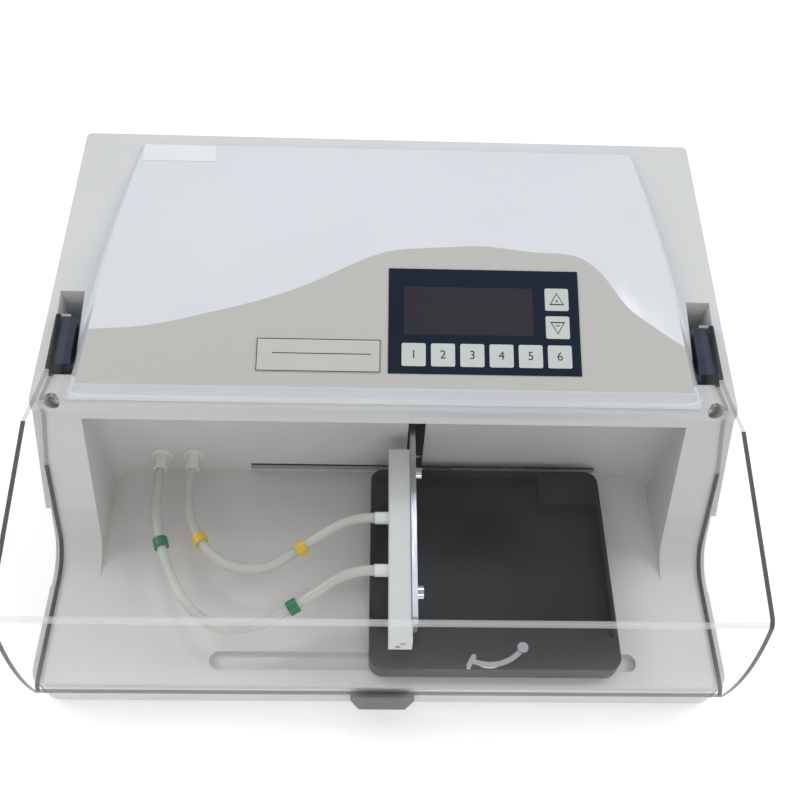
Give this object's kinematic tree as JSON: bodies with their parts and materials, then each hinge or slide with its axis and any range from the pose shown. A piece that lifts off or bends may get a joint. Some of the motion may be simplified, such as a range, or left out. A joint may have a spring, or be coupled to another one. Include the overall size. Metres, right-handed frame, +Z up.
{
  "type": "microplate washer",
  "caption": "Bench washer for microplates with a hinged clear cover, a sliding plate carrier, a needle wash head on a lift, a sloping keypad and hoses to wall ports.",
  "frame": {"origin": "on the table, in the middle of the object's box", "axes": "+X to the right seen from the front, +Y to the back, +Z up"},
  "size_m": [0.4016, 0.3215, 0.1717],
  "materials": {
    "grey_housing": "satin light grey",
    "console_white": "glossy white",
    "label_white": "matt",
    "label_grey": "matt",
    "keypad_navy": "satin film",
    "display_glass": "smoked",
    "display_black": "matt",
    "board_green": "solder mask",
    "key_grey": "satin",
    "clear_plastic": "clear polished",
    "navy_plastic": "satin",
    "bright_steel": "fine brushed",
    "black_plastic": "satin",
    "white_plastic": "satin",
    "spring_wire": "bright",
    "chrome": "bright",
    "aluminium": "satin anodised",
    "belt_rubber": "matt",
    "motor_black": "satin black",
    "head_grey": "satin",
    "silicone": "translucent",
    "green_plastic": "satin",
    "yellow_plastic": "satin",
    "foot_rubber": "matt"
  },
  "bodies": {
    "housing": {"base_tray": "grey_housing", "bay_wall": "grey_housing", "upper_housing": "grey_housing", "console_cover": "console_white", "top_label": "label_white", "name_plate": "label_grey", "keypad_panel": "keypad_navy", "display_window": "display_glass", "display_module": "display_black", "keypad_board": "board_green", "hinge_pins": "bright_steel", "drive_rod": "bright_steel", "drive_supports": "aluminium", "drive_belt": "belt_rubber", "drive_motor": "motor_black", "lift_frame": "aluminium", "lift_rods": "bright_steel", "lift_motor": "motor_black", "hose_ports": "white_plastic", "rinse_tube": "silicone", "waste_tube": "silicone", "green_bands": "green_plastic", "yellow_bands": "yellow_plastic", "bottom_plate": "bright_steel", "rubber_feet": "foot_rubber", "case_screws": "bright_steel", "rear_panel": "aluminium", "power_inlet": "black_plastic", "dispense_pump": "motor_black", "vacuum_pump": "motor_black", "power_supply": "aluminium", "main_board": "board_green"},
    "cover": {"clear_cover": "clear_plastic", "hinge_lugs": "navy_plastic"},
    "carrier": {"plate_carrier": "black_plastic", "front_guide": "white_plastic", "carrier_bracket": "bright_steel", "drive_carriage": "black_plastic", "clamp_screw": "chrome"},
    "clamp": {"clamp_lever": "spring_wire"},
    "wash_head": {"head_bar": "head_grey", "head_plugs": "bright_steel", "dispense_needles": "bright_steel", "aspirate_needles": "bright_steel", "head_barbs": "white_plastic", "head_arm": "aluminium", "head_screws": "chrome", "lift_carriage": "aluminium"},
    "drive_pulley": {"drive_pulley": "aluminium"},
    "idler_pulley": {"idler_pulley": "aluminium"},
    "spindle": {"lift_screw": "bright_steel"},
    "power_rocker": {"switch_rocker": "black_plastic"},
    "key_1": {"key_1": "key_grey"},
    "key_2": {"key_2": "key_grey"},
    "key_3": {"key_3": "key_grey"},
    "key_4": {"key_4": "key_grey"},
    "key_5": {"key_5": "key_grey"},
    "key_6": {"key_6": "key_grey"},
    "key_down": {"key_down": "key_grey"},
    "key_up": {"key_up": "key_grey"}
  },
  "joints": [
    {"name": "cover_hinge", "type": "hinge", "parent": "housing", "child": "cover", "pos_m": [0, 0.01175, 0.128], "axis": [-1, 0, 0], "range_deg": [0, 85]},
    {"name": "carrier_slide", "type": "slide", "parent": "housing", "child": "carrier", "axis": [1, 0, 0], "range_m": [-0.1092, 0.0105]},
    {"name": "clamp_lever_turn", "type": "hinge", "parent": "carrier", "child": "clamp", "pos_m": [0.079, -0.13675, 0.0463], "axis": [0, 0, 1], "range_deg": [-20, 10]},
    {"name": "head_lift", "type": "slide", "parent": "housing", "child": "wash_head", "axis": [0, 0, 1], "range_m": [-0.011, 0.005], "deforming": ["rinse_tube", "waste_tube", "green_bands", "yellow_bands"]},
    {"name": "drive_pulley_spin", "type": "hinge", "parent": "housing", "child": "drive_pulley", "pos_m": [0.106, 0.01575, 0.024], "axis": [0, 1, 0], "continuous": true},
    {"name": "idler_pulley_spin", "type": "hinge", "parent": "housing", "child": "idler_pulley", "pos_m": [-0.126, 0.01575, 0.024], "axis": [0, 1, 0], "continuous": true},
    {"name": "spindle_spin", "type": "hinge", "parent": "housing", "child": "spindle", "pos_m": [0.017, 0.03575, 0.07], "axis": [0, 0, 1], "continuous": true},
    {"name": "rocker_tilt", "type": "hinge", "parent": "housing", "child": "power_rocker", "pos_m": [0.042, 0.14842, 0.03197], "axis": [1, 0, 0], "range_deg": [0, 20]},
    {"name": "key_1_press", "type": "slide", "parent": "housing", "child": "key_1", "axis": [0, -0.309, 0.9511], "range_m": [-0.0008, 0], "stiffness_N_per_m": 250},
    {"name": "key_2_press", "type": "slide", "parent": "housing", "child": "key_2", "axis": [0, -0.309, 0.9511], "range_m": [-0.0008, 0], "stiffness_N_per_m": 250},
    {"name": "key_3_press", "type": "slide", "parent": "housing", "child": "key_3", "axis": [0, -0.309, 0.9511], "range_m": [-0.0008, 0], "stiffness_N_per_m": 250},
    {"name": "key_4_press", "type": "slide", "parent": "housing", "child": "key_4", "axis": [0, -0.309, 0.9511], "range_m": [-0.0008, 0], "stiffness_N_per_m": 250},
    {"name": "key_5_press", "type": "slide", "parent": "housing", "child": "key_5", "axis": [0, -0.309, 0.9511], "range_m": [-0.0008, 0], "stiffness_N_per_m": 250},
    {"name": "key_6_press", "type": "slide", "parent": "housing", "child": "key_6", "axis": [0, -0.309, 0.9511], "range_m": [-0.0008, 0], "stiffness_N_per_m": 250},
    {"name": "key_down_press", "type": "slide", "parent": "housing", "child": "key_down", "axis": [0, -0.309, 0.9511], "range_m": [-0.0008, 0], "stiffness_N_per_m": 250},
    {"name": "key_up_press", "type": "slide", "parent": "housing", "child": "key_up", "axis": [0, -0.309, 0.9511], "range_m": [-0.0008, 0], "stiffness_N_per_m": 250}
  ],
  "couplings": [
    {"joint": "drive_pulley_spin", "follows": "carrier_slide", "rad_per_m": 125},
    {"joint": "idler_pulley_spin", "follows": "carrier_slide", "rad_per_m": 125},
    {"joint": "spindle_spin", "follows": "head_lift", "rad_per_m": -1570.8}
  ]
}
